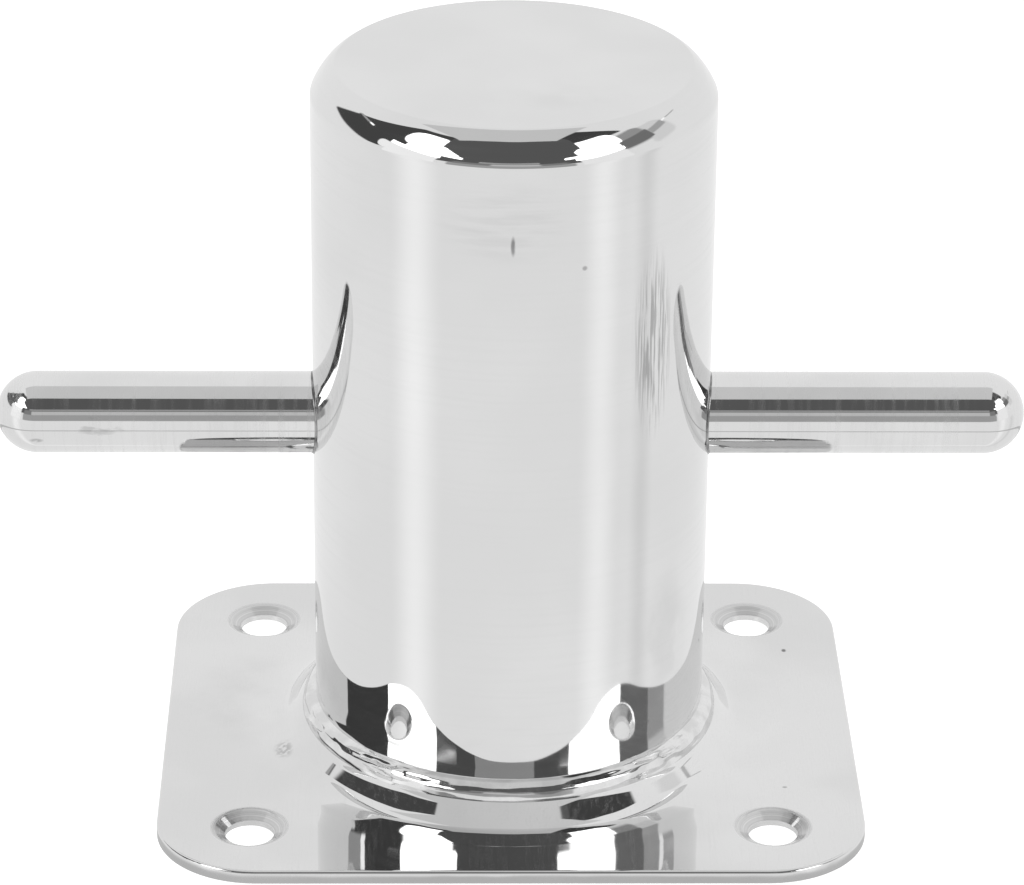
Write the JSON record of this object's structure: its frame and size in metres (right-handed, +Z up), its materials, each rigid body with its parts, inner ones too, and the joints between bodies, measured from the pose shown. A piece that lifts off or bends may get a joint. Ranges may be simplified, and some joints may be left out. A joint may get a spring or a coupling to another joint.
{
  "type": "mooring bollard",
  "caption": "Single cross mooring bollard: hollow post on a flanged base plate, crossed by a horizontal pin that a mooring line is belayed to.",
  "frame": {"origin": "middle of the base plate's underside, on the post's axis", "axes": "+Z up along the post, +X along the cross pin, +Y across it"},
  "size_m": [0.1554, 0.093, 0.1115],
  "materials": {
    "plate_steel": "mirror-polished stainless steel sheet",
    "post_steel": "mirror-polished stainless steel tube",
    "pin_steel": "mirror-polished stainless steel bar",
    "weld_steel": "polished weld bead, slightly lumpy"
  },
  "bodies": {
    "root": {"base_plate": "plate_steel", "post_tube": "post_steel", "post_cap": "post_steel", "cap_weld": "post_steel", "foot_weld": "weld_steel", "cross_pin": "pin_steel", "pin_weld_left": "weld_steel", "pin_weld_right": "weld_steel"}
  },
  "joints": []
}
